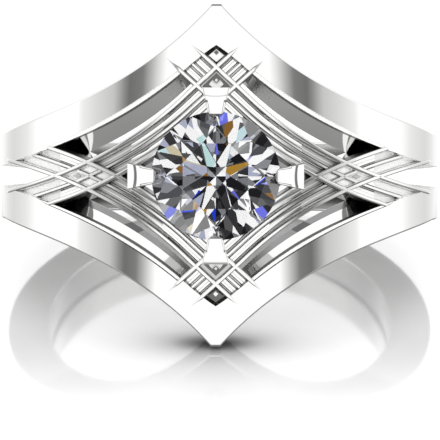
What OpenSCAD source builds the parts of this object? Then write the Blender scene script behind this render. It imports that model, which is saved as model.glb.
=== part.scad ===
// Diamond engagement ring, lying on its side.
// It rests on the lower chevron tip and on the back of the band, so the crown leans back a little.
// The ring is drawn upright first: finger axis along Z, crown towards -Y, angles from the crown's centre.

/* [Band] */
// Diameter of the finger hole
bore_d = 17.0; // [16:0.5:18.5]
// Thickness of the band, from the finger hole to the polished face
wall_t = 2.0; // [1.8:0.1:2.3]
// Height of the whole band at the sides and the back
back_h = 3.96; // [3.8:0.02:4.2]
// Height of each of the two bands in the crown
band_h = 1.5; // [1.4:0.05:1.6]
// How much of their height the bands lose between the polished face and the finger hole
taper = 0.046; // [0.02:0.002:0.07]
// Height of the slit between the bands where it ends, near the back
slit_h = 0.3; // [0.2:0.05:0.5]
// Angle at which the slit ends, where the bands join
slit_end = 155; // [140:1:165]

/* [Chevrons] */
// Height from tip to tip
tip_h = 13.5; // [13:0.1:14]
// Half angle of the blunt end of each tip
tip_blunt = 1.0; // [0.8:0.1:1.5]
// Height that the edge of a chevron falls towards, measured from the middle of the band
crest_low = 1.6; // [1.4:0.05:1.8]
// Angle in which what is left of that fall drops to about a third
crest_fall = 25.8; // [24:0.2:28]
// Extra metal under each tip, above the pierced diamond
tip_web = 0.2; // [0:0.05:0.3]

/* [Lattice] */
// Drop from a chevron's edge to the middle of the bar below it
bar_drop = 3.27; // [3.2:0.01:3.34]
// Width across a bar, between the middles of its two edge rails
bar_w = 1.04; // [0.9:0.02:1.1]
// Width across a rail
rail_w = 0.19; // [0.14:0.01:0.22]
// How far the two edge rails stand proud of the bands
rail_proud = 0.04; // [0.02:0.01:0.08]
// Depth of the middle rail below the bands' face
middle_depth = 0.22; // [0.15:0.01:0.35]
// Depth of the channels between the rails
channel_depth = 0.5; // [0.4:0.05:0.8]
// Angle within which the bars run straight across each other
straight_a = 6; // [4:0.5:8]
// Angle past the crown's centre at which the outer rails sink into the far chevron
tail_outer = 5; // [4:0.25:6]
// Angle past the crown's centre at which the inner rails sink into the far chevron
tail_inner = 9.5; // [8:0.25:11]

/* [Stone] */
// Diameter of the diamond
stone_d = 5.0; // [4.8:0.05:5.1]
// Distance from the finger's axis to the underside of the girdle
girdle_at = 10.85; // [10.8:0.01:11]
// Thickness of the girdle
girdle_t = 0.14; // [0.1:0.01:0.2]
// Width of the table, corner to corner, as a share of the diameter
table_share = 0.54; // [0.53:0.01:0.62]
// Slope of the eight main facets of the crown
crown_slope = 34.5; // [32:0.1:36]
// Slope of the eight main facets of the pavilion
pavilion_slope = 40.8; // [40:0.1:41.4]
// Length of the star facets, as a share of the way from the table's edge to the girdle
star_share = 0.5; // [0.4:0.05:0.6]
// Length of the lower girdle facets, as a share of the way to the culet
lower_share = 0.78; // [0.7:0.01:0.85]

/* [Claws] */
// Width of a claw at its foot
claw_w = 1.14; // [0.9:0.02:1.2]
// Width of a claw at its tip
claw_tip_w = 0.6; // [0.4:0.02:0.7]
// Distance from the stone's centre to the back of a claw
claw_back = 3.4; // [3.3:0.02:3.5]
// Height of a claw above the underside of the girdle
claw_rise = 0.62; // [0.56:0.02:0.7]
// Depth of a claw below the underside of the girdle
claw_root = 1.6; // [1.4:0.1:1.8]
// Length of the slope behind a claw's top
claw_shoulder = 0.55; // [0.4:0.05:0.6]
// How far a claw reaches over the girdle
claw_grip = 0.15; // [0.12:0.01:0.3]
// Width of the ledge that carries the girdle
ledge_w = 0.25; // [0.15:0.05:0.3]
// Clearance between the diamond and the metal
stone_gap = 0.03; // [0.02:0.01:0.05]

/* [Hidden] */
$fn = 96;

bore_r = bore_d / 2;
face_r = bore_r + wall_t;
girdle_r = stone_d / 2;
eps = 0.01;
// Strips are drawn past the polished face and past the finger hole, then trimmed to true cylinders
spare = 0.25;
// Length of the cylinders that trim the ring, and size of the blocks that cut the facets
long = 2 * tip_h;

// Corners of the diamond's facets: distance from its axis, and height above the girdle's underside.
// Main facets lie half a facet's angle off the claws, so a claw grips where two upper facets meet.
half = 180 / 8;
table_r = girdle_r * table_share;
table_z = girdle_t + (girdle_r - table_r) * tan(crown_slope);
edge_r = table_r * cos(half);
star_r = edge_r + (girdle_r - edge_r) * star_share;
star_z = girdle_t + (girdle_r - star_r * cos(half)) * tan(crown_slope);
low_r = girdle_r * (1 - lower_share);
low_z = -(girdle_r - low_r * cos(half)) * tan(pavilion_slope);

// Rest: the lower tip's inner corner and the back's outer edge lie on the ground
tip_low = tip_h / 2 * (1 - taper);
lean = atan((tip_low - back_h / 2) / (bore_r + face_r));
axis_up = back_h / 2 * cos(lean) + face_r * sin(lean);
// The origin is under the middle of the ring's depth, between the claws' shoulders and the back
front_y = -(girdle_at + claw_rise) * cos(lean) - (claw_back - claw_shoulder) * sin(lean);
back_y = face_r * cos(lean) + back_h / 2 * sin(lean);

// Angles at which the strips have a section: close in the crown, wide round the back
crown_step = 3;
crown_end = 66;
back_step = 6;
half_turn = concat([0, tip_blunt], [for (a = [crown_step : crown_step : crown_end]) a],
                   [for (a = [crown_end + back_step : back_step : 180 - back_step]) a]);

// Angles at which the lines of a bar are wholly inside the bands, on the near side and the far side
floor_from = -7.5;
floor_to = 60;
middle_from = -6.5;
middle_to = 56;
outer_to = 66;
inner_to = 43.5;
// Angle over which the end of an edge rail sinks into the band, and its depth there
sink_a = 3;
sink = 0.02;

// Height of the upper chevron's edge at angle a, without the blunt tip
crest_rise = (tip_h / 2 - crest_low) / exp(-tip_blunt / crest_fall);
function fall(a) = crest_low + crest_rise * exp(-a / crest_fall);
function crest(a) = max(back_h / 2, fall(max(abs(a), tip_blunt)));
// The same line for the bars, which run on straight across the crown's centre
function steepness(a) = crest_rise / crest_fall * exp(-max(a, straight_a) / crest_fall);
function track(a) = a > straight_a ? fall(a) : fall(straight_a) + (straight_a - a) * steepness(a);
// Stretch of a width across the track when it is measured along the finger
function across(a) = norm([1, steepness(a) / (face_r * PI / 180)]);
// Edge of the upper band that faces the gap
crown_gap = back_h / 2 - band_h;
function slit(a) = crown_gap + (slit_h / 2 - crown_gap) * max(0, a - 90) / (slit_end - 90);
function gap_edge(a) = max(track(a) - band_h - tip_web * exp(-a / 4), slit(a));

// Point on the drum at angle a, radius r and height w, where heights shrink towards the finger hole
function on_drum(a, r, w) = [r * sin(a), -r * cos(a), w * (1 - taper * (face_r - r) / wall_t)];

// Solid strip round the drum through the given angles: its edges and its face are functions of the angle
module drum_strip(angles, low, high, face, closed = false) {
    n = len(angles);
    inside = bore_r - spare;
    rings = [for (a = angles) each [on_drum(a, inside, low(a)), on_drum(a, face(a), low(a)),
                                    on_drum(a, face(a), high(a)), on_drum(a, inside, high(a))]];
    last = closed ? n - 1 : n - 2;
    sides = [for (i = [0 : last]) let (p = 4 * i, q = 4 * ((i + 1) % n)) for (k = [0 : 3])
             let (m = (k + 1) % 4) each [[p + k, p + m, q + m], [p + k, q + m, q + k]]];
    ends = closed ? [] : [[3, 2, 1, 0], [4 * n - 4, 4 * n - 3, 4 * n - 2, 4 * n - 1]];
    polyhedron(rings, concat(sides, ends));
}

module mirrored(axis) {
    children();
    mirror(axis) children();
}

// Upper band, all the way round
module upper_band() {
    round_trip = concat(half_turn, [180], [for (i = [len(half_turn) - 1 : -1 : 1]) -half_turn[i]]);
    drum_strip(round_trip, function(a) gap_edge(abs(a)), function(a) crest(a),
               function(a) face_r + spare, closed = true);
}

// Metal that joins the two bands at the back
module back_bridge() {
    angles = [for (a = [slit_end : 5 : 360 - slit_end]) a];
    drum_strip(angles, function(a) -slit_h, function(a) slit_h, function(a) face_r + spare);
}

// One line of a bar, offset from the bar's middle and half_w wide to each side
module bar_line(offset, half_w, face, from, to) {
    angles = [for (i = [0 : 1 : ceil((to - from) / crown_step)]) min(to, from + i * crown_step)];
    drum_strip(angles, function(a) track(a) - bar_drop + (offset - half_w) * across(a),
               function(a) track(a) - bar_drop + (offset + half_w) * across(a), face);
}

// Edge rail, whose two ends sink into the bands' faces
module edge_rail(offset, from, to) {
    rise = function(a) min(1, (a - from) / sink_a, (to - a) / sink_a);
    bar_line(offset, rail_w / 2, function(a) face_r - sink + (rail_proud + sink) * rise(a), from, to);
}

// A bar: two edge rails, a lower middle rail and the channel floor that carries them
module bar() {
    edge_rail(bar_w / 2, -tail_outer, outer_to);
    edge_rail(-bar_w / 2, -tail_inner, inner_to);
    bar_line(0, rail_w / 2, function(a) face_r - middle_depth, middle_from, middle_to);
    bar_line(0, bar_w / 2, function(a) face_r - channel_depth, floor_from, floor_to);
}

// Claw outline as seen from in front of the stone, pointing at the centre
module claw_outline() {
    round_r = claw_tip_w / 2;
    tip_at = girdle_r - claw_grip + round_r;
    polygon([[claw_back, -claw_w / 2], [claw_back, claw_w / 2], [tip_at, round_r], [tip_at, -round_r]]);
    translate([tip_at, 0]) circle(round_r);
}

// Claw profile from the side: distance from the stone's centre against height above the girdle's underside
module claw_profile() {
    over = girdle_t + stone_gap;
    tip = girdle_r - claw_grip;
    seat = girdle_r + stone_gap;
    ledge = girdle_r - ledge_w;
    ledge_z = low_z * ledge_w / (girdle_r - low_r) - 2 * stone_gap;
    under = over + claw_grip * (star_z - girdle_t) / (girdle_r - star_r);
    shoulder = claw_back - claw_shoulder;
    polygon([[tip, under], [seat, over], [seat, -stone_gap], [ledge, ledge_z],
             [ledge, -claw_root], [claw_back - ledge_w / 2, -claw_root], [claw_back, ledge_z],
             [claw_back, over], [(claw_back + shoulder) / 2, (over + 4 * claw_rise) / 5],
             [shoulder, claw_rise], [tip + claw_tip_w / 3, claw_rise], [tip, (under + claw_rise) / 2]]);
}

module claw() {
    intersection() {
        translate([0, 0, -claw_root - eps]) linear_extrude(claw_rise + claw_root + 2 * eps) claw_outline();
        rotate([90, 0, 0]) linear_extrude(claw_w + 2 * eps, center = true) claw_profile();
    }
}

// Puts what is drawn with +Z as the stone's axis on the crown, with the girdle's underside at its height
module at_crown() {
    translate([0, -girdle_at, 0]) rotate([90, 0, 0]) children();
}

// Leans the upright ring back until it rests
module at_rest() {
    translate([0, -(front_y + back_y) / 2, axis_up]) rotate([-lean, 0, 0]) children();
}

module ring_mount() {
    color("gainsboro") at_rest() difference() {
        union() {
            intersection() {
                union() {
                    mirrored([0, 0, 1]) upper_band();
                    back_bridge();
                }
                cylinder(r = face_r, h = long, center = true);
            }
            mirrored([0, 0, 1]) mirrored([1, 0, 0]) bar();
            at_crown() for (turn = [0 : 90 : 270]) rotate(turn) claw();
        }
        cylinder(r = bore_r, h = long, center = true);
    }
}

// Takes off what is outside n facet planes, each through distance r and height z and falling outwards
module facets(n, shift, r, z, slope) {
    for (i = [0 : n - 1]) rotate((i + shift) * 360 / n) translate([r, 0, z]) rotate([0, slope, 0])
        translate([-long / 2, -long / 2, 0]) cube(long);
}

// Round brilliant, cut from a disc as a real one is: table up, girdle's underside at height 0
module brilliant() {
    chord_r = girdle_r * cos(half / 2);
    difference() {
        translate([0, 0, -girdle_r]) cylinder(r = girdle_r, h = girdle_r + table_z);
        facets(8, 0, girdle_r, girdle_t, crown_slope);
        facets(8, 1 / 2, edge_r, table_z, atan((table_z - star_z) / (star_r - edge_r)));
        facets(16, 1 / 2, chord_r, girdle_t, atan((star_z - girdle_t) / (chord_r - star_r * cos(half / 2))));
        mirror([0, 0, 1]) facets(8, 0, girdle_r, 0, pavilion_slope);
        mirror([0, 0, 1]) facets(16, 1 / 2, chord_r, 0, atan(-low_z / (chord_r - low_r * cos(half / 2))));
    }
}

module centre_diamond() {
    color("lightcyan") at_rest() at_crown() rotate(half) brilliant();
}

ring_mount();
centre_diamond();
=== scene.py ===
"""Diamond engagement ring lying on its side on a white, glossy floor, in soft studio light.

The casting is modelled anew as swept strips and lofted claws with rounded edges, from the same sizes as
the solid that it replaces. The diamond is the CAD solid itself. Sizes are in millimetres until to_mesh.
"""

import bpy
import numpy as np
from mathutils import Matrix, Vector


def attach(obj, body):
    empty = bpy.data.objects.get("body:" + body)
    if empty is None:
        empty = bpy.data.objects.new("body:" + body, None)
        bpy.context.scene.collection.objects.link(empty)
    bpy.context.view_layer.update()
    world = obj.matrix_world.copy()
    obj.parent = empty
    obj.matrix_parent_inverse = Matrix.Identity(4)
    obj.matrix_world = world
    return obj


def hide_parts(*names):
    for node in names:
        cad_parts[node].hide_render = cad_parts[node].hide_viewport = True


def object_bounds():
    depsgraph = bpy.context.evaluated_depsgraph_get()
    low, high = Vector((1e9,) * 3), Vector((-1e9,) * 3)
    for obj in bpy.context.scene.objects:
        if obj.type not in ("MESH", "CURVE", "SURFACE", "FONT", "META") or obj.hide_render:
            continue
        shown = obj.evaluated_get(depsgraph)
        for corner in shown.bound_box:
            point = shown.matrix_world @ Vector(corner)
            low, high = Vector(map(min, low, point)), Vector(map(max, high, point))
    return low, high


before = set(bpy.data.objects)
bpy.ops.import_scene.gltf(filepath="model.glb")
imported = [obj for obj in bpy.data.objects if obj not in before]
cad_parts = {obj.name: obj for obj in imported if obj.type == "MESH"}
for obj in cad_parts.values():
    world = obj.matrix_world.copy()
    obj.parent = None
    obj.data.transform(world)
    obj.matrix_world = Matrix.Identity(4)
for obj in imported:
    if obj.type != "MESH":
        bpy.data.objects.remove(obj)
CAD_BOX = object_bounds()
MM = 0.001

# Band and chevrons
BORE_R = 8.5
WALL = 2.0
FACE_R = BORE_R + WALL
BACK_H = 3.96
BAND_H = 1.5
TAPER = 0.046
SLIT_H = 0.3
SLIT_END = 155
TIP_H = 13.5
TIP_BLUNT = 1.0
CREST_LOW = 1.6
CREST_FALL = 25.8
TIP_WEB = 0.2
WEB_FALL = 4

# Lattice
BAR_DROP = 3.27
BAR_W = 1.04
RAIL_W = 0.19
RAIL_PROUD = 0.04
MIDDLE_DEPTH = 0.22
CHANNEL_DEPTH = 0.5
STRAIGHT_A = 6
TAIL_OUTER = 5.5
TAIL_INNER = 10.6
TAIL_A = 2.6
OUTER_TO = 66
INNER_TO = 43.5
FLOOR_FROM, FLOOR_TO = -7.5, 70
MIDDLE_FROM, MIDDLE_TO = -6.5, 56
SINK_A = 3
SINK = 0.02

# Stone and claws
GIRDLE_AT = 10.85
CLAW_BACK = 3.4

# How the ring rests
LOW_TIP = TIP_H / 2 * (1 - TAPER)
LEAN = np.arctan((LOW_TIP - BACK_H / 2) / (BORE_R + FACE_R))


def rest_matrix():
    """Leans the upright ring back until it rests, and puts the middle of its box over the origin."""
    lean = Matrix.Rotation(-LEAN, 4, "X")
    far_side = CAD_BOX[1].y
    rise = BACK_H / 2 * np.cos(LEAN) + FACE_R * np.sin(LEAN)
    back = FACE_R * np.cos(LEAN) + BACK_H / 2 * np.sin(LEAN)
    return Matrix.Translation((0, far_side - back * MM, rise * MM)) @ lean


REST = rest_matrix()

# Lines of the chevrons and bars: height along the finger at an angle from the crown's centre
CREST_RISE = (TIP_H / 2 - CREST_LOW) / np.exp(-TIP_BLUNT / CREST_FALL)
CROWN_GAP = BACK_H / 2 - BAND_H


def fall(a):
    return CREST_LOW + CREST_RISE * np.exp(-a / CREST_FALL)


def crest(a):
    return np.maximum(BACK_H / 2, fall(np.maximum(np.abs(a), TIP_BLUNT)))


def steepness(a):
    return CREST_RISE / CREST_FALL * np.exp(-np.maximum(a, STRAIGHT_A) / CREST_FALL)


def track(a):
    straight = fall(STRAIGHT_A) + (STRAIGHT_A - a) * steepness(STRAIGHT_A)
    return np.where(a > STRAIGHT_A, fall(np.maximum(a, STRAIGHT_A)), straight)


def across(a):
    return np.hypot(1, steepness(a) / np.radians(FACE_R))


def slit(a):
    return CROWN_GAP + (SLIT_H / 2 - CROWN_GAP) * np.maximum(0, a - 90) / (SLIT_END - 90)


def gap_edge(a):
    return np.maximum(track(a) - BAND_H - TIP_WEB * np.exp(-a / WEB_FALL), slit(a))


# Finishes of the white gold, and darker copies of it whose low tone is painted shade, in the order of the material
# slots (see the table of finishes further down)
POLISHED, PAINTED_SHADE, SATIN, BRIGHT, PAINTED_HALF_SHADE, PAINTED_GREY_SHADE, PAINTED_BLACK_SHADE, PAINTED_UNDER_SHADE = range(8)

# Swept strips. A section is a loop of points (r, side, dw, before, after): radius, share of the way from the
# low to the high edge, height added to that, and the angle of the normal before and after the point.
def corner(r, side, turn, bend, steps=5):
    """A rounded or sharp corner of the section: turn is the normal's angle where it starts."""
    if not bend:
        return [(r, side, 0.0, turn, turn + 90)]
    to_middle_r = -1 if -90 <= turn < 90 else 1
    to_middle_w = 1 if side == 0 else -1
    points = []
    for i in range(steps + 1):
        angle = turn + 90 * i / steps
        t = np.radians(angle)
        points.append((r + bend * (to_middle_r + np.cos(t)), side, bend * (to_middle_w + np.sin(t)), angle, angle))
    return points


def plain_section(r0, outer, inner=0.0):
    return (corner(FACE_R, 0, -90, outer) + corner(FACE_R, 1, 0, outer)
            + corner(r0, 1, 90, inner) + corner(r0, 0, 180, inner))


def lipped_section(r0, outer, inner, far, dark):
    """The band's section: a narrow ledge, one step down from the face, runs along the low edge.

    far and dark are how much of the wall in the slot has a finish or painted shade of its own: far from the finger
    hole, dark from the ledge.
    """
    return (corner(FACE_R - LIP_STEP, 0, -90, LIP_ROUND)[:-1]
            + [(FACE_R - LIP_STEP, 0, LIP_ROUND, 0, LEDGE_TURN)]
            + [(FACE_R - LIP_STEP, 0, LIP_W, LEDGE_TURN, -45), (FACE_R, 0, LIP_W + LIP_STEP, -45, 0)]
            + corner(FACE_R, 1, 0, outer) + corner(r0, 1, 90, inner)
            + [(r, side, dw - WALL_LEAN, *turns) for r, side, dw, *turns in corner(r0, 0, 180, inner)[:-1]]
            + [(r0 + inner, 0, -WALL_LEAN, 270, FAR_TURN),
               (r0 + far, 0, WALL_LEAN * (far / WALL - 1), FAR_TURN, 270),
               (FACE_R - LIP_STEP - dark, 0, -WALL_LEAN * dark / WALL, 270, DARK_TURN)])


def grooved_section(r0, groove_turn, gutter_w, gutter_depth):
    """A bar's floor: two shallow round grooves beside a middle rail, each between two narrow gutters."""
    points = corner(FACE_R, 0, -90, 0.0)
    bend = GROOVE_W / 2 / np.sin(np.radians(groove_turn))
    for side in (0.25, 0.75):
        turns = np.linspace(-groove_turn, groove_turn, 9)
        low, high, bottom = -GROOVE_W / 2 - gutter_w, GROOVE_W / 2 + gutter_w, FACE_R - gutter_depth
        points += [(FACE_R, side, low, 0, 90), (bottom, side, low, 90, GUTTER_TURN),
                   (bottom, side, -GROOVE_W / 2, GUTTER_TURN, -90)]
        for i, turn in enumerate(turns):
            t = np.radians(turn)
            points.append((FACE_R + bend * (1 - np.cos(t)), side, bend * np.sin(t),
                           -90 if i == 0 else -turn, 90 if i == 8 else -turn))
        points += [(bottom, side, GROOVE_W / 2, 90, GUTTER_TURN), (bottom, side, high, GUTTER_TURN, -90),
                   (FACE_R, side, high, -90, 0)]
    return points + corner(FACE_R, 1, 0, 0.0) + corner(r0, 1, 90, 0.0) + corner(r0, 0, 180, 0.0)


def on_drum(a, r, w):
    """Point on the drum at angle a (degrees), where heights shrink towards the finger hole."""
    t = np.radians(a)
    return np.stack([r * np.sin(t), -r * np.cos(t), w * (1 - TAPER * (FACE_R - r) / WALL)], -1)


def unit(v):
    return v / np.maximum(np.linalg.norm(v, axis=-1, keepdims=True), 1e-12)


def strip(angles, low, high, face, section, closed=False, creases=(), outer_scale=lambda a, side: 1.0,
          finish_or_shade=lambda a, turn: POLISHED):
    """Vertices, faces, corner normals and finishes or painted shades of a strip that runs round the drum with the
    section.

    outer_scale scales the roundings and steps of the outer edges, by angle and side. The finish argument gives a
    face's finish or painted shade from its angle on the drum and the angle of its normal in the section.
    """
    angles = np.asarray(angles, float)
    r0 = min(p[0] for p in section)
    n, m = len(angles), len(section)
    lows, highs, faces_at = low(angles), high(angles), face(angles)
    grid = np.zeros((n, m, 3))
    for k, (r, side, dw, _, _) in enumerate(section):
        outer = r > (r0 + FACE_R) / 2
        scale = outer_scale(angles, side) if outer else 1.0
        radius = faces_at + (r - FACE_R) * scale if outer else r
        grid[:, k] = on_drum(angles, radius, lows + side * (highs - lows) + dw * scale)
    ahead = np.roll(grid, -1, 0) - grid
    behind = grid - np.roll(grid, 1, 0)
    if not closed:
        ahead[-1], behind[0] = behind[-1], ahead[0]
    t = np.radians(angles)
    out = np.stack([np.sin(t), -np.cos(t), np.zeros(n)], -1)[:, None]
    up = np.array([0, 0, 1.0])

    def normals(direction, turns):
        turns = np.radians(turns)[None, :, None]
        along_section = -np.sin(turns) * out + np.cos(turns) * up
        return unit(np.cross(unit(direction), along_section))

    shading = []
    for turns in (np.array([p[3] for p in section]), np.array([p[4] for p in section])):
        before = normals(unit(ahead) + unit(behind), turns)
        after = before.copy()
        for i in creases:
            before[i], after[i] = normals(behind, turns)[i], normals(ahead, turns)[i]
        shading.append((before, after))
    (in_before, in_after), (out_before, out_after) = shading
    faces, corner_normals, finishes_and_shades = [], [], []
    for i in range(n if closed else n - 1):
        j = (i + 1) % n
        for k in range(m):
            q = (k + 1) % m
            faces.append((i * m + k, j * m + k, j * m + q, i * m + q))
            finishes_and_shades.append(finish_or_shade(angles[i], section[k][4]))
            corner_normals += [out_after[i, k], out_before[j, k], in_before[j, q], in_after[i, q]]
    if not closed:
        for i, order in ((0, range(m)), (n - 1, range(m - 1, -1, -1))):
            face_loop = [i * m + k for k in order]
            ring = grid.reshape(-1, 3)[face_loop]
            faces.append(tuple(face_loop))
            finishes_and_shades.append(POLISHED)
            corner_normals += [unit(np.cross(ring, np.roll(ring, -1, 0)).sum(0))] * m
    return grid.reshape(-1, 3), faces, np.array(corner_normals), finishes_and_shades


def mirrored(part, axis):
    """The part mirrored across X or Z, with its faces turned back outwards."""
    points, faces, normals, finishes_and_shades = part
    sign = np.ones(3)
    sign[axis] = -1
    turned, new_normals, at = [], [], 0
    for f in faces:
        turned.append(tuple(reversed(f)))
        new_normals.append(normals[at:at + len(f)][::-1] * sign)
        at += len(f)
    return points * sign, turned, np.concatenate(new_normals), finishes_and_shades


def joined(parts):
    points, faces, normals, finishes_and_shades, start = [], [], [], [], 0
    for p, f, n, finish_or_shade in parts:
        faces += [tuple(i + start for i in face) for face in f]
        points.append(p)
        normals.append(n)
        finishes_and_shades += finish_or_shade
        start += len(p)
    return np.concatenate(points), faces, np.concatenate(normals), finishes_and_shades


def to_mesh(name, part):
    """Makes the object in metres, in the resting position, with its own corner normals."""
    points, faces, normals, finishes_and_shades = part
    mesh = bpy.data.meshes.new(name)
    mesh.from_pydata([tuple(p) for p in points * MM], [], faces)
    mesh.polygons.foreach_set("use_smooth", [True] * len(mesh.polygons))
    mesh.polygons.foreach_set("material_index", finishes_and_shades)
    mesh.normals_split_custom_set([tuple(v) for v in normals])
    mesh.transform(REST)
    mesh.update()
    obj = bpy.data.objects.new(name, mesh)
    bpy.context.scene.collection.objects.link(obj)
    return obj


EDGE = 0.04
RAIL_EDGE = 0.075
MIDDLE_W = 0.13
CREST_EDGE = 0.12
BORE_EDGE = 0.1
LIP_FROM, LIP_TO = 7.2, 46
LIP_W = 0.15
# Normal angles that mark a face of the section for its finish or painted shade
LEDGE_TURN, DARK_TURN, FAR_TURN = -1, 269.5, 270.5
LIP_STEP = 0.04
LIP_ROUND = 0.03
PAD_TO = 8
# The black painted shade deep in the lower slots, and how far the darker painted shade of the underside runs
FAR_BLACK_SHADE = (20.5, 25)
UNDER_SHADE_TO = 50
WALL_LEAN = 0.17
GROOVE_W = 0.28
GUTTER_TURN = 0.5
# Where the grooves carry painted grey shade, and where the outer rails' inner walls begin to be light
PAINTED_GREY_FROM, PAINTED_GREY_TO = 19, 30
LIGHT_WALL_FROM = 10
CROWN_TO, BAR_TO = 12, 40
FLOOR_RISE = 0.2
CROSS_DROP = 0.004
POCKET_A, POCKET_W = 2.0, 3.56


def lip_at(a):
    """The ledge runs along the slots only, and narrows towards their outer ends."""
    a = np.abs(a)
    return (np.clip((a - LIP_FROM) / 0.8, 0.02, 1) * np.interp(a, (18, 44), (1, 0.5))
            * np.clip((LIP_TO - a) / 3, 0.02, 1))


def band_finish_and_shade(a, turn):
    """Deep grey beside the ledge and on the walls of the pads near the tip, and a half-toned finger hole: both are
    painted shade.
    """
    if turn in (-45, DARK_TURN) and abs(a) < LIP_TO or turn == 270 and abs(a) < PAD_TO:
        return PAINTED_SHADE
    if turn in (270, DARK_TURN, FAR_TURN) and LIP_TO < abs(a) < 90:
        return SATIN
    if turn == 180:
        return PAINTED_HALF_SHADE
    return BRIGHT if turn < 0 else POLISHED


def upper_finish_and_shade(a, turn):
    """The upper band's riser is light."""
    return SATIN if turn == -45 and abs(a) < LIP_TO else band_finish_and_shade(a, turn)


def lower_finish_and_shade(a, turn):
    """Painted shade on the lower band: a black line below its ledge and a black patch deep in the slots, a darker
    underside and finger hole, and deep grey on the slots' far walls.
    """
    a = abs(a)
    if turn == DARK_TURN and a < LIP_TO or turn == FAR_TURN and FAR_BLACK_SHADE[0] < a < FAR_BLACK_SHADE[1]:
        return PAINTED_BLACK_SHADE
    if turn == 90 and a < UNDER_SHADE_TO or turn == 180:
        return PAINTED_UNDER_SHADE
    return PAINTED_SHADE if turn == FAR_TURN and a < LIP_TO else band_finish_and_shade(a, turn)


def band(far, dark, finish_or_shade):

    half = np.concatenate([np.arange(0, 12, 0.25), np.arange(12, 70, 0.5), np.arange(70, 180, 1.0)])
    angles = np.concatenate([half, [180], -half[:0:-1]])
    return strip(angles, lambda a: gap_edge(np.abs(a)), crest, lambda a: FACE_R + 0 * a,
                 lipped_section(BORE_R, CREST_EDGE, BORE_EDGE, far, dark), closed=True, creases=[0],
                 outer_scale=lambda a, side: lip_at(a) if side == 0 else 1.0, finish_or_shade=finish_or_shade)


def back_bridge():
    angles = np.arange(SLIT_END, 360 - SLIT_END + 0.5, 1.0)
    return strip(angles, lambda a: -SLIT_H + 0 * a, lambda a: SLIT_H + 0 * a, lambda a: FACE_R + 0 * a,
                 plain_section(BORE_R, 0.0))


def bar_line(offset, half_w, face, start, end, section, finish_or_shade, taper=lambda a: 1):
    angles = np.linspace(start, end, int((end - start) / 0.5) + 1)
    return strip(angles, lambda a: track(a) - BAR_DROP + (offset - half_w * taper(a)) * across(a),
                 lambda a: track(a) - BAR_DROP + (offset + half_w * taper(a)) * across(a), face, section,
                 outer_scale=lambda a, side: taper(a), finish_or_shade=finish_or_shade)


def rail_finish_and_shade(a, turn):
    """Rails are polished on top; their walls are deep grey, a painted shade."""
    return POLISHED if -60 < (turn + 180) % 360 - 180 < 60 else PAINTED_SHADE


def outer_rail_finish_and_shade(a, turn):
    """The outer rail's wall towards the middle of its bar is satin, away from the crown."""
    return SATIN if turn == 270 and a > LIGHT_WALL_FROM else rail_finish_and_shade(a, turn)


def floor_finish_and_shade(a, turn):
    """Grooves are satin, gutters deep grey, a painted shade."""
    return PAINTED_SHADE if turn == GUTTER_TURN or abs(turn) == 90 else SATIN if abs(turn) < 60 else POLISHED


def crown_finish_and_shade(a, turn):
    """On the crown the grooves are polished, and painted a grey shade where they near the side crossing."""
    if 0 < abs(turn) < 60 and turn != GUTTER_TURN:
        return PAINTED_GREY_SHADE if PAINTED_GREY_FROM < a < PAINTED_GREY_TO else POLISHED
    return floor_finish_and_shade(a, turn)


def floor_face(a):
    return FACE_R - CHANNEL_DEPTH + FLOOR_RISE + 0 * a


def edge_rail(offset, start, end, lower):
    """A rail that runs out to a point over the band's face, and sinks into it at the far end."""
    def grown(a):
        return np.clip((a - start) / TAIL_A, 0, 1)

    def face(a):
        rise = np.clip(np.minimum(0.36 + 0.64 * grown(a) ** 2, (end - a) / SINK_A), 0, 1)
        return FACE_R - SINK - lower + (RAIL_PROUD + SINK) * rise

    return bar_line(offset, RAIL_W / 2, face, start, end, plain_section(FACE_R - CHANNEL_DEPTH - 0.1, RAIL_EDGE),
                    outer_rail_finish_and_shade if offset > 0 else rail_finish_and_shade,
                    lambda a: 0.12 + 0.88 * grown(a) ** 1.5)


def middle_rail(start, end, lower):
    return bar_line(0, MIDDLE_W / 2, lambda a: FACE_R - MIDDLE_DEPTH - lower + 0.1 + 0 * a, start, end,
                    plain_section(FACE_R - CHANNEL_DEPTH - 0.1, EDGE), rail_finish_and_shade)


# A bar's floor: start and end angle, turn of the grooves' edges, width and depth of the gutters, and finish or
# painted shade
FLOORS = ((FLOOR_FROM, CROWN_TO, 6, 0.05, 0.15, crown_finish_and_shade),
          (CROWN_TO, BAR_TO, 14, 0.04, 0.12, crown_finish_and_shade),
          (BAR_TO, FLOOR_TO, 20, 0.01, 0.01, floor_finish_and_shade))


def bar(lower):
    """One bar. Bars that lean one way are a hair lower, so that no two faces coincide where they cross."""
    rails = [edge_rail(BAR_W / 2, -TAIL_OUTER, OUTER_TO, lower),
             edge_rail(-BAR_W / 2, -TAIL_INNER, INNER_TO, lower),
             middle_rail(MIDDLE_FROM, -POCKET_A, lower),
             middle_rail(POCKET_A, MIDDLE_TO, lower)]
    floors = [bar_line(0, BAR_W / 2, lambda a: floor_face(a) - lower, start, end,
                       grooved_section(BORE_R + lower, *groove), finish_or_shade)
              for start, end, *groove, finish_or_shade in FLOORS]
    return joined(rails + floors)


# Claws: x is the distance from the stone's centre, z the height above the girdle's underside
CLAW_TIP = 2.3
CLAW_NOSE, NOSE_LONG = 0.34, 0.28
CLAW_FOOT = 0.53
CLAW_RIDGE = 3.07
PRONG_SHARE, PRONG_FROM = 0.74, 2.9
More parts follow.
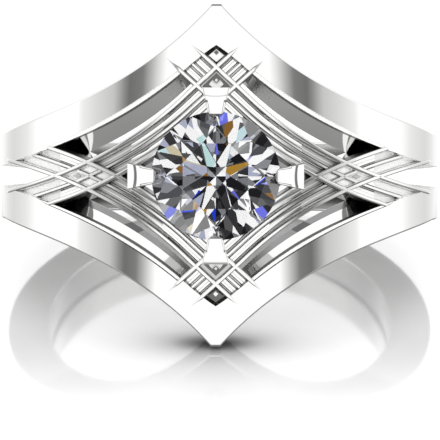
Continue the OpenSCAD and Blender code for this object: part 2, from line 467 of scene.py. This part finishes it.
# Turn about the stone's axis, slope behind the ridge, height of the ledge and how fast its end falls
CLAWS = ((0, 0.37, 0.5, 0.0), (90, 0.22, 0.53, 0.0), (180, 0.37, 0.5, 0.0), (270, 0.1, 0.53, 0.5))
CLAW_TOP = 0.537
CLAW_ROOT = -1.6
FRONT_SLOPE, LEDGE_SLOPE = 0.08, 0.1
RIDGE_BOW = 0.06
RIDGE_SOFT = 0.003
PRONG_DROP = 0.05
END_FROM = 3.2
UNDER_FOOT, UNDER_TIP = 0.17, 0.345
UNDER_FROM = 2.5
SEAT_AT = 2.53


def claw_half(x):
    """Half width in plan: straight sides that narrow to a round nose."""
    nose_at = CLAW_TIP + NOSE_LONG
    side = CLAW_NOSE + (CLAW_FOOT - CLAW_NOSE) * (x - nose_at) / (CLAW_BACK - nose_at)
    nose = CLAW_NOSE * np.sqrt(np.clip(1 - ((nose_at - x) / NOSE_LONG) ** 2, 0, None))
    return np.where(x > nose_at, side, nose)


def claw_under(x):
    """Height of the claw's underside, which follows the stone's crown at a small gap."""
    return UNDER_FOOT + (UNDER_TIP - UNDER_FOOT) * np.clip((UNDER_FROM - x) / (UNDER_FROM - CLAW_TIP), 0, 1)


def claw_top(x, y, behind_slope, ledge_at, end_fall):
    """Height of the claw's top: a round tip, a front slope, a bowed ridge, and a ledge behind it."""
    edge = np.clip(np.abs(y) / np.maximum(claw_half(x), 1e-6), 0, 1)
    ridge = CLAW_RIDGE - RIDGE_BOW * (1 - edge ** 2)
    front = CLAW_TOP - FRONT_SLOPE * (ridge - x)
    behind = CLAW_TOP - behind_slope * (x - ridge)
    ledge = ledge_at - LEDGE_SLOPE * (x - ridge)
    stack = np.stack([front, np.maximum(behind, ledge)])
    low = stack.min(0)
    top = low - RIDGE_SOFT * np.log(np.exp(-(stack - low) / RIDGE_SOFT).sum(0))
    prong = np.clip((PRONG_FROM - x) / 0.05, 0, 1) * np.clip((edge - PRONG_SHARE) / 0.06, 0, 1)
    top = (top - PRONG_DROP * prong - 0.03 * np.clip((edge - 0.9) / 0.1, 0, 1) ** 2
           - end_fall * np.clip(x - END_FROM, 0, None) ** 2)
    along = np.clip((x - CLAW_TIP) / 0.12, 0, 1)
    under = claw_under(x) + 0.02
    return under + (np.maximum(top, under) - under) * np.sqrt(1 - (1 - along) ** 2)


def grid_solid(points):
    """A closed solid from a grid of section points: one section a row, the ends capped."""
    n, m = points.shape[:2]
    faces = []
    for i in range(n - 1):
        for k in range(m):
            q = (k + 1) % m
            faces.append((i * m + k, (i + 1) * m + k, (i + 1) * m + q, i * m + q))
    faces.append(tuple(range(m)))
    faces.append(tuple((n - 1) * m + k for k in range(m - 1, -1, -1)))
    return points.reshape(-1, 3), faces


def soft_normals(points, faces, limit=35):
    """Corner normals that smooth faces that meet at less than limit degrees."""
    def face_normal(face):
        ring = points[list(face)]
        return np.cross(ring, np.roll(ring, -1, 0)).sum(0) / 2
    areas = np.array([face_normal(face) for face in faces])
    units = areas / np.maximum(np.linalg.norm(areas, axis=1, keepdims=True), 1e-12)
    around = {}
    for i, face in enumerate(faces):
        for v in face:
            around.setdefault(v, []).append(i)
    out = []
    for i, face in enumerate(faces):
        for v in face:
            near = [j for j in around[v] if units[j] @ units[i] > np.cos(np.radians(limit))]
            total = areas[near].sum(0) if near else units[i]
            out.append(total / max(np.linalg.norm(total), 1e-12))
    return np.array(out)


def claw(*shape):
    xs = np.concatenate([CLAW_TIP + 0.3 * (1 - np.cos(np.linspace(0.06, np.pi / 2, 14))),
                         np.arange(CLAW_TIP + 0.34, CLAW_BACK, 0.04), [CLAW_BACK]])
    half = np.array([0.3, 0.5, 0.65, 0.71, 0.74, 0.755, 0.77, 0.785, 0.8, 0.83, 0.87, 0.9, 0.94, 0.97, 0.99, 1.0])
    across_points = np.concatenate([-half[::-1], [0], half])
    rows = []
    for x in xs:
        y = claw_half(x) * across_points
        under = claw_under(x)
        top = np.maximum(claw_top(np.full_like(y, x), y, *shape), under + 0.02)
        upper = np.stack([np.full_like(y, x), y, top], 1)
        lower = np.stack([np.full_like(y, x), y, np.full_like(y, under)], 1)[::-1]
        rows.append(np.concatenate([upper, lower]))
    finger = grid_solid(np.array(rows)[::-1])
    rows = []
    for x in np.linspace(SEAT_AT, CLAW_BACK, 6):
        w = claw_half(x) - 0.005
        rows.append([(x, -w, 0.25), (x, w, 0.25), (x, w, CLAW_ROOT), (x, -w, CLAW_ROOT)])
    post = grid_solid(np.array(rows)[::-1])
    parts = []
    for points, faces in (finger, post):
        centre = points.mean(0)
        first = points[list(faces[0])]
        outward = np.cross(first, np.roll(first, -1, 0)).sum(0) @ (first.mean(0) - centre) > 0
        if not outward:
            faces = [tuple(reversed(f)) for f in faces]
        parts.append((points, faces, soft_normals(points, faces), [POLISHED] * len(faces)))
    return joined(parts)


def on_crown(part, turn):
    """Turns a claw about the stone's axis and puts it on the crown."""
    points, faces, normals, finishes_and_shades = part
    t = np.radians(turn)
    spin = np.array([[np.cos(t), -np.sin(t), 0], [np.sin(t), np.cos(t), 0], [0, 0, 1]])
    stand = np.array([[1, 0, 0], [0, 0, -1], [0, 1, 0]])
    move = stand @ spin
    return points @ move.T + np.array([0, -GIRDLE_AT, 0]), faces, normals @ move.T, finishes_and_shades


bars = joined([bar(0.0), mirrored(bar(CROSS_DROP), 0)])
PIT_W, PIT_AT, PIT_HALF_W, PIT_HALF_H = 4.74, 0.12, 0.3, 0.25


def prism(outline, top, bottom, finish_or_shade):
    """A block with the outline (x, w) between two radii, on the drum; its walls and bottom are deep grey, a
    painted shade.
    """
    loops = [np.array([on_drum(np.degrees(x / FACE_R), r, w) for x, w in outline]) for r in (top, bottom)]
    n = len(outline)
    points = np.concatenate(loops)
    faces = [tuple(range(n)), tuple(range(2 * n - 1, n - 1, -1))]
    faces += [(i, n + i, n + (i + 1) % n, (i + 1) % n) for i in range(n)]
    normals = []
    for face in faces:
        ring = points[list(face)]
        normals += [unit(np.cross(ring, np.roll(ring, -1, 0)).sum(0))] * len(face)
    return points, faces, np.array(normals), [finish_or_shade] + [PAINTED_SHADE] * (n + 1)


def square(half_w, half_h, w=PIT_W):
    return [(-half_w, w), (0, w - half_h), (half_w, w), (0, w + half_h)]


def pit(block, stud):
    """The bottom of the small square pit at the chevron's tip: a back of painted shade, a block and a stud."""
    return joined([prism(square(0.62, 0.5), FACE_R - CHANNEL_DEPTH, FACE_R - CHANNEL_DEPTH - 0.1, PAINTED_SHADE),
                   prism(square(PIT_HALF_W, PIT_HALF_H), FACE_R - PIT_AT, FACE_R - CHANNEL_DEPTH - 0.05, block),
                   prism(square(0.1, 0.1, PIT_W + (0.12 if stud == PAINTED_SHADE else -0.08)), FACE_R - PIT_AT + 0.02,
                         FACE_R - PIT_AT - 0.05, stud)])


def pocket(shift):
    """What stands in the crossing behind a claw: a dark floor, two arms that meet, and a small stud. The dark
    floor, the half-toned plate under it and the half-toned inner shape are painted shade.
    """
    w = POCKET_W + shift
    arms = [(0, w + 0.03), (-0.2, w + 0.17), (-0.29, w + 0.05), (0, w - 0.2), (0.29, w + 0.05), (0.2, w + 0.17)]
    inner = [(0, w + 0.11), (-0.15, w + 0.24), (-0.2, w + 0.19), (0, w + 0.02), (0.2, w + 0.19), (0.15, w + 0.24)]
    stud = [(0, w + 0.15), (0.07, w + 0.23), (0, w + 0.29), (-0.07, w + 0.23)]
    return joined([prism(square(0.74, 0.67, POCKET_W), FACE_R - 0.26, FACE_R - 0.4, PAINTED_HALF_SHADE),
                   prism(square(0.57, 0.53, w), FACE_R - 0.22, FACE_R - 0.3, PAINTED_SHADE),
                   prism(inner[::-1], FACE_R - 0.18, FACE_R - 0.3, PAINTED_HALF_SHADE),
                   prism(arms[::-1], FACE_R - 0.1, FACE_R - 0.3, BRIGHT),
                   prism(stud, FACE_R - 0.16, FACE_R - 0.3, BRIGHT)])


# Where the upper and the lower bars cross at the side, and half of that crossing's height and length
SEARCH_A = np.arange(10, 60, 0.1)
SIDE_A = np.interp(-BAR_DROP, -track(SEARCH_A), SEARCH_A)
SIDE_HALF_W = BAR_W / 2 * across(SIDE_A)
SIDE_HALF_A = SIDE_HALF_W / steepness(SIDE_A)


def side_plate(along, up, size, depth, finish_or_shade):
    """A diamond-shaped plate in the side crossing; along, up and size are shares of the crossing's own. Its walls
    are deep grey, a painted shade.
    """
    middle, half_a, half_w = SIDE_A + along * SIDE_HALF_A, size * SIDE_HALF_A, size * SIDE_HALF_W

    def spread(a):
        return half_w * np.clip(1 - np.abs(a - middle) / half_a, 0.01, 1)

    return strip(np.linspace(middle - half_a, middle + half_a, 17), lambda a: up * SIDE_HALF_W - spread(a),
                 lambda a: up * SIDE_HALF_W + spread(a), lambda a: FACE_R - depth + 0 * a,
                 plain_section(FACE_R - CHANNEL_DEPTH - 0.1, 0.0), creases=[8],
                 finish_or_shade=lambda a, turn: finish_or_shade if turn == 0 else PAINTED_SHADE)


# Plates in a side crossing: along, up, size, depth and finish or painted shade
SIDE_PLATES = ((0, 0, 0.94, 0.26, SATIN),
               (0.47, 0, 0.16, 0.22, PAINTED_GREY_SHADE),
               (-0.47, 0, 0.27, 0.22, BRIGHT),
               (0, 0.47, 0.24, 0.22, BRIGHT),
               (0, -0.47, 0.24, 0.22, BRIGHT))
LOWER_SHIFT = -0.12
side = joined([side_plate(*row) for row in SIDE_PLATES])
# In each pit either the block or the stud is deep grey, a painted shade.
lower_bars = joined([bars, pit(PAINTED_SHADE, BRIGHT), pocket(LOWER_SHIFT)])
lattice = joined([bars, pit(BRIGHT, PAINTED_SHADE), pocket(0.0), mirrored(lower_bars, 2), side, mirrored(side, 0)])
claws = joined([on_crown(claw(*shape), turn) for turn, *shape in CLAWS])


def node_input(shader, name, value):
    shader.inputs[name].default_value = value


def white_gold(name, tone, metallic, smoothest, roughest):
    """Polished metal with a hint of wear in its roughness; a low tone makes a darker copy that paints shade."""
    material = bpy.data.materials.new(name)
    material.use_nodes = True
    nodes, links = material.node_tree.nodes, material.node_tree.links
    shader = nodes["Principled BSDF"]
    node_input(shader, "Base Color", (tone, tone, tone * 0.99, 1))
    node_input(shader, "Metallic", metallic)
    place = nodes.new("ShaderNodeTexCoord")
    wear = nodes.new("ShaderNodeTexNoise")
    node_input(wear, "Scale", 900)
    node_input(wear, "Detail", 3)
    links.new(place.outputs["Object"], wear.inputs["Vector"])
    spread = nodes.new("ShaderNodeMapRange")
    node_input(spread, "To Min", smoothest)
    node_input(spread, "To Max", roughest)
    links.new(wear.outputs["Fac"], spread.inputs["Value"])
    links.new(spread.outputs["Result"], shader.inputs["Roughness"])
    return material


def diamond():
    material = bpy.data.materials.new("diamond")
    material.use_nodes = True
    nodes, links = material.node_tree.nodes, material.node_tree.links
    nodes.clear()
    out = nodes.new("ShaderNodeOutputMaterial")
    glass = nodes.new("ShaderNodeBsdfGlass")
    node_input(glass, "IOR", 2.42)
    node_input(glass, "Roughness", 0.0)
    links.new(glass.outputs["BSDF"], out.inputs["Surface"])
    return material


# Finish or painted shade: material's name, tone, how metallic, and the least and the greatest roughness. A low
# tone is painted shade.
FINISHES_AND_SHADES = (("white_gold", 0.93, 1.0, 0.03, 0.07),
            ("white_gold_painted_shade", 0.15, 0.8, 0.15, 0.25),
            ("white_gold_satin", 1.0, 0.15, 0.25, 0.4),
            ("white_gold_bright", 1.0, 0.1, 0.3, 0.4),
            ("white_gold_painted_half_shade", 0.55, 1.0, 0.08, 0.14),
            ("white_gold_painted_grey_shade", 0.55, 0.3, 0.3, 0.4),
            ("white_gold_painted_black_shade", 0.02, 1.0, 0.3, 0.4),
            ("white_gold_painted_under_shade", 0.3, 1.0, 0.08, 0.14))
GOLD = [white_gold(*row) for row in FINISHES_AND_SHADES]
upper_band = band(0.5, 0.25, upper_finish_and_shade)
lower_band = mirrored(band(0.75, 0.32, lower_finish_and_shade), 2)
for name, part in (("split_band", joined([upper_band, lower_band, back_bridge()])),
                   ("lattice", lattice),
                   ("claws", claws)):
    piece = to_mesh(name, part)
    for material in GOLD:
        piece.data.materials.append(material)
    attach(piece, "root")
    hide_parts("ring_mount")

stone = bpy.data.objects["centre_diamond"]
for slot in stone.material_slots:
    slot.link = "OBJECT"
    slot.material = diamond()

def set_stops(node, stops):
    """Gives a colour ramp its stops: position and colour (a grey tone or three numbers)."""
    elements = node.color_ramp.elements
    while len(elements) < len(stops):
        elements.new(1.0)
    for element, (at, _) in zip(elements, stops):
        element.position = at
    for element, (_, tone) in zip(elements, stops):
        element.color = (*tone, 1) if isinstance(tone, tuple) else (tone, tone, tone, 1)


# Floor
FLOOR_HALF = 0.6
# Share of gloss at a distance behind the middle of the ring's box, in millimetres
GLOSS = ((-17.5, 0.0), (-16, 0.14), (-14.5, 0.24), (-12, 0.38), (-10, 0.42), (-8.4, 0.43), (-6, 0.48), (-3, 0.6),
         (1, 0.68))
# Extra light on the floor, under the ring and away from it, and how far in front or to the side that begins
NEAR_LIGHT, AWAY_LIGHT = 0.04, 0.14
AWAY_FROM, AWAY_TO, AWAY_DEPTH = 0.0088, 0.0108, 0.75
TIP_AT = (0.0, -0.0104)
SHADOW_HALF = (0.0062, 0.0033)
SHADOW = ((0.0, 0.02), (0.15, 0.2), (0.31, 0.7), (0.55, 0.94), (0.8, 1.0), (0.9, 1.0), (1.0, 1.0))


def floor_white():
    """White gloss whose mirror image fades towards the front, lit at the sides, with the tip's shadow."""
    material = bpy.data.materials.new("floor_white")
    material.use_nodes = True
    nodes, links = material.node_tree.nodes, material.node_tree.links
    nodes.clear()
    out = nodes.new("ShaderNodeOutputMaterial")
    matt = nodes.new("ShaderNodeBsdfDiffuse")
    node_input(matt, "Color", (0.98, 0.98, 0.98, 1))
    gloss = nodes.new("ShaderNodeBsdfGlossy")
    node_input(gloss, "Color", (1, 1, 1, 1))
    node_input(gloss, "Roughness", 0.08)
    place = nodes.new("ShaderNodeTexCoord")
    away = nodes.new("ShaderNodeSeparateXYZ")
    links.new(place.outputs["Object"], away.inputs["Vector"])
    front, back = GLOSS[0][0] * MM, GLOSS[-1][0] * MM
    depth = nodes.new("ShaderNodeMapRange")
    node_input(depth, "From Min", front)
    node_input(depth, "From Max", back)
    links.new(away.outputs["Y"], depth.inputs["Value"])
    fade = nodes.new("ShaderNodeValToRGB")
    set_stops(fade, [((y * MM - front) / (back - front), share) for y, share in GLOSS])
    links.new(depth.outputs["Result"], fade.inputs["Fac"])
    mix = nodes.new("ShaderNodeMixShader")
    links.new(fade.outputs["Color"], mix.inputs["Fac"])
    links.new(matt.outputs["BSDF"], mix.inputs[1])
    links.new(gloss.outputs["BSDF"], mix.inputs[2])
    oval = nodes.new("ShaderNodeVectorMath")
    oval.operation = "MULTIPLY"
    oval.inputs[1].default_value = (1, AWAY_DEPTH, 0)
    links.new(place.outputs["Object"], oval.inputs[0])
    distance = nodes.new("ShaderNodeVectorMath")
    distance.operation = "LENGTH"
    links.new(oval.outputs["Vector"], distance.inputs[0])
    glow = nodes.new("ShaderNodeMapRange")
    node_input(glow, "From Min", AWAY_FROM)
    node_input(glow, "From Max", AWAY_TO)
    node_input(glow, "To Min", NEAR_LIGHT)
    node_input(glow, "To Max", AWAY_LIGHT)
    links.new(distance.outputs["Value"], glow.inputs["Value"])
    lit = nodes.new("ShaderNodeEmission")
    links.new(glow.outputs["Result"], lit.inputs["Strength"])
    both = nodes.new("ShaderNodeAddShader")
    links.new(mix.outputs["Shader"], both.inputs[0])
    links.new(lit.outputs["Emission"], both.inputs[1])
    near = nodes.new("ShaderNodeVectorMath")
    near.operation = "MULTIPLY_ADD"
    near.inputs[1].default_value = (1 / SHADOW_HALF[0], 1 / SHADOW_HALF[1], 0)
    near.inputs[2].default_value = (-TIP_AT[0] / SHADOW_HALF[0], -TIP_AT[1] / SHADOW_HALF[1], 0)
    links.new(place.outputs["Object"], near.inputs[0])
    reach = nodes.new("ShaderNodeVectorMath")
    reach.operation = "LENGTH"
    links.new(near.outputs["Vector"], reach.inputs[0])
    shade = nodes.new("ShaderNodeValToRGB")
    shade.color_ramp.interpolation = "B_SPLINE"
    set_stops(shade, SHADOW)
    links.new(reach.outputs["Value"], shade.inputs["Fac"])
    dark = nodes.new("ShaderNodeBsdfDiffuse")
    node_input(dark, "Color", (0.02, 0.02, 0.02, 1))
    shadow = nodes.new("ShaderNodeMixShader")
    links.new(shade.outputs["Color"], shadow.inputs["Fac"])
    links.new(dark.outputs["BSDF"], shadow.inputs[1])
    links.new(both.outputs["Shader"], shadow.inputs[2])
    path = nodes.new("ShaderNodeLightPath")
    clear = nodes.new("ShaderNodeBsdfTransparent")
    hide = nodes.new("ShaderNodeMixShader")
    links.new(path.outputs["Is Glossy Ray"], hide.inputs["Fac"])
    links.new(shadow.outputs["Shader"], hide.inputs[1])
    links.new(clear.outputs["BSDF"], hide.inputs[2])
    links.new(hide.outputs["Shader"], out.inputs["Surface"])
    return material


mesh = bpy.data.meshes.new("floor")
mesh.from_pydata([(-FLOOR_HALF, -FLOOR_HALF, 0), (FLOOR_HALF, -FLOOR_HALF, 0), (FLOOR_HALF, FLOOR_HALF, 0),
                  (-FLOOR_HALF, FLOOR_HALF, 0)], [], [(0, 1, 2, 3)])
floor = bpy.data.objects.new("floor", mesh)
bpy.context.scene.collection.objects.link(floor)
floor.data.materials.append(floor_white())

# Light: a white room, seen in the metal as bright and grey screens to either side. SCREENS gives the tone at
# an angle from the front, HEIGHTS the strength at an elevation.
SCREENS = ((0, 1.1), (31, 1.1), (37, 0.52), (41, 0.22), (47, 0.17), (50, 0.3), (55, 0.6), (64, 0.75), (72, 0.92),
           (75, 1.1), (104, 1.1), (113, 0.88), (121, 0.8), (129, 0.75), (137, 0.83), (147, 1.0), (180, 1.1))
HEIGHTS = ((-90, 0.3), (-45, 0.3), (-20, 0.35), (-13, 1.0), (45, 1.0), (58, 0.3), (90, 0.25))
ROOM_LIGHT = 1.22
# What the diamond sees: large and fine cells of light and dark, with a tone for each share of a cell's value
GEM_SCALE = 3.4
GEM_SHIFT = (17.04, 21.27, 21.67)
GEM_FINE, GEM_FINE_SHARE = 10.0, 0.5
GEM_LIGHTS = ((0.0, (0.01, 0.01, 0.012)), (0.29, (0.045, 0.045, 0.05)), (0.41, (0.13, 0.13, 0.13)),
              (0.5, (0.28, 0.29, 0.31)), (0.58, (0.56, 0.59, 0.76)), (0.65, (1.3, 1.3, 1.3)))
# Coloured cards and lamps that the facets pick out: azimuth, elevation, half angle and colour
GEM_CARDS = ((1, 11, 5, (0.03, 0.03, 0.035)),
             (-5, 23, 3, (0.7, 1.0, 1.0)),
             (4, 24, 4, (1.3, 1.3, 1.3)),
             (13, 18, 4, (0.55, 0.3, 0.04)),
             (20, 18, 4, (0.32, 0.14, 0.01)),
             (38, 24, 5, (0.2, 0.22, 1.1)),
             (-37, 27, 4, (0.02, 0.06, 0.8)),
             (-18, 1, 5, (0.8, 0.72, 0.5)),
             (11, -15, 4, (0.03, 0.1, 1.2)),
             (-6, -46, 7, (0.35, 0.38, 1.0)),
             (-13, 32, 4, (0.75, 1.0, 1.05)),
             (-39, 20, 4, (0.15, 0.15, 0.16)))


def studio():
    """The world: a white room for matt surfaces, screens for the metal, cells and cards for the diamond."""
    world = bpy.data.worlds.new("studio")
    world.use_nodes = True
    nodes, links = world.node_tree.nodes, world.node_tree.links
    nodes.clear()
    out = nodes.new("ShaderNodeOutputWorld")
    place = nodes.new("ShaderNodeTexCoord")
    parts = nodes.new("ShaderNodeSeparateXYZ")
    links.new(place.outputs["Generated"], parts.inputs["Vector"])

    def math(operation, a, b=None):
        node = nodes.new("ShaderNodeMath")
        node.operation = operation
        for i, value in enumerate((a, b)):
            if value is None:
                continue
            if isinstance(value, (int, float)):
                node.inputs[i].default_value = value
            else:
                links.new(value, node.inputs[i])
        return node.outputs["Value"]

    def tones(fac, stops, start, span):
        node = nodes.new("ShaderNodeValToRGB")
        set_stops(node, [((angle - start) / span, tone) for angle, tone in stops])
        links.new(fac, node.inputs["Fac"])
        return node.outputs["Color"]

    turned = math("DIVIDE", math("ARCCOSINE", math("MULTIPLY", parts.outputs["Y"], -1.0)), float(np.pi))
    height = math("ADD", math("DIVIDE", math("ARCSINE", parts.outputs["Z"]), float(np.pi)), 0.5)
    seen = nodes.new("ShaderNodeBackground")
    links.new(tones(turned, SCREENS, 0, 180), seen.inputs["Color"])
    links.new(tones(height, HEIGHTS, -90, 180), seen.inputs["Strength"])
    room = nodes.new("ShaderNodeBackground")
    node_input(room, "Color", (1, 1, 1, 1))
    node_input(room, "Strength", ROOM_LIGHT)
    cells = nodes.new("ShaderNodeTexVoronoi")
    cells.feature = "F1"
    node_input(cells, "Scale", GEM_SCALE)
    node_input(cells, "Randomness", 1.0)
    shift = nodes.new("ShaderNodeVectorMath")
    shift.operation = "ADD"
    shift.inputs[1].default_value = GEM_SHIFT
    links.new(place.outputs["Generated"], shift.inputs[0])
    links.new(shift.outputs["Vector"], cells.inputs["Vector"])
    splinters = nodes.new("ShaderNodeTexVoronoi")
    node_input(splinters, "Scale", GEM_FINE)
    links.new(shift.outputs["Vector"], splinters.inputs["Vector"])
    both = nodes.new("ShaderNodeMix")
    both.data_type = "RGBA"
    node_input(both, "Factor", GEM_FINE_SHARE)
    links.new(cells.outputs["Color"], both.inputs[6])
    links.new(splinters.outputs["Color"], both.inputs[7])
    pieces = nodes.new("ShaderNodeSeparateColor")
    links.new(both.outputs[2], pieces.inputs["Color"])
    lights = nodes.new("ShaderNodeValToRGB")
    lights.color_ramp.interpolation = "CONSTANT"
    set_stops(lights, GEM_LIGHTS)
    links.new(pieces.outputs["Red"], lights.inputs["Fac"])
    colour = lights.outputs["Color"]
    for azimuth, elevation, half_angle, card in GEM_CARDS:
        a, e = np.radians(azimuth), np.radians(elevation)
        facing = nodes.new("ShaderNodeVectorMath")
        facing.operation = "DOT_PRODUCT"
        facing.inputs[1].default_value = (np.sin(a) * np.cos(e), -np.cos(a) * np.cos(e), np.sin(e))
        links.new(place.outputs["Generated"], facing.inputs[0])
        laid = nodes.new("ShaderNodeMix")
        laid.data_type = "RGBA"
        links.new(math("GREATER_THAN", facing.outputs["Value"], float(np.cos(np.radians(half_angle)))),
                  laid.inputs["Factor"])
        links.new(colour, laid.inputs[6])
        laid.inputs[7].default_value = (*card, 1)
        colour = laid.outputs[2]
    gem = nodes.new("ShaderNodeBackground")
    links.new(colour, gem.inputs["Color"])
    node_input(gem, "Strength", 1.0)
    path = nodes.new("ShaderNodeLightPath")
    through = nodes.new("ShaderNodeMixShader")
    links.new(path.outputs["Is Singular Ray"], through.inputs["Fac"])
    links.new(seen.outputs["Background"], through.inputs[1])
    links.new(gem.outputs["Background"], through.inputs[2])
    pick = nodes.new("ShaderNodeMixShader")
    links.new(path.outputs["Is Diffuse Ray"], pick.inputs["Fac"])
    links.new(through.outputs["Shader"], pick.inputs[1])
    links.new(room.outputs["Background"], pick.inputs[2])
    links.new(pick.outputs["Shader"], out.inputs["Surface"])
    return world


bpy.context.scene.world = studio()

# Bounces
cycles = bpy.context.scene.cycles
cycles.max_bounces = 24
cycles.glossy_bounces = 3
cycles.transmission_bounces = 20
cycles.transparent_max_bounces = 16

# Camera, fitted to the photograph: place in millimetres, yaw and pitch in degrees
CAM_AT = (0.704, -50.6464, 16.356)
CAM_YAW, CAM_PITCH = -0.764, 15.555
CAM_LENS = 87.68
cam_data = bpy.data.cameras.new("camera")
cam = bpy.data.objects.new("camera", cam_data)
bpy.context.scene.collection.objects.link(cam)
cam_data.lens = CAM_LENS
cam_data.sensor_width = 36
cam_data.clip_start = 0.002
cam_data.clip_end = 10
yaw, pitch = np.radians(CAM_YAW), np.radians(CAM_PITCH)
cam.location = Vector(CAM_AT) * MM
look = Vector((np.sin(yaw) * np.cos(pitch), np.cos(yaw) * np.cos(pitch), -np.sin(pitch)))
cam.rotation_mode = "QUATERNION"
cam.rotation_quaternion = look.to_track_quat("-Z", "Y")
bpy.context.scene.camera = cam
bpy.context.scene.view_settings.view_transform = "Standard"
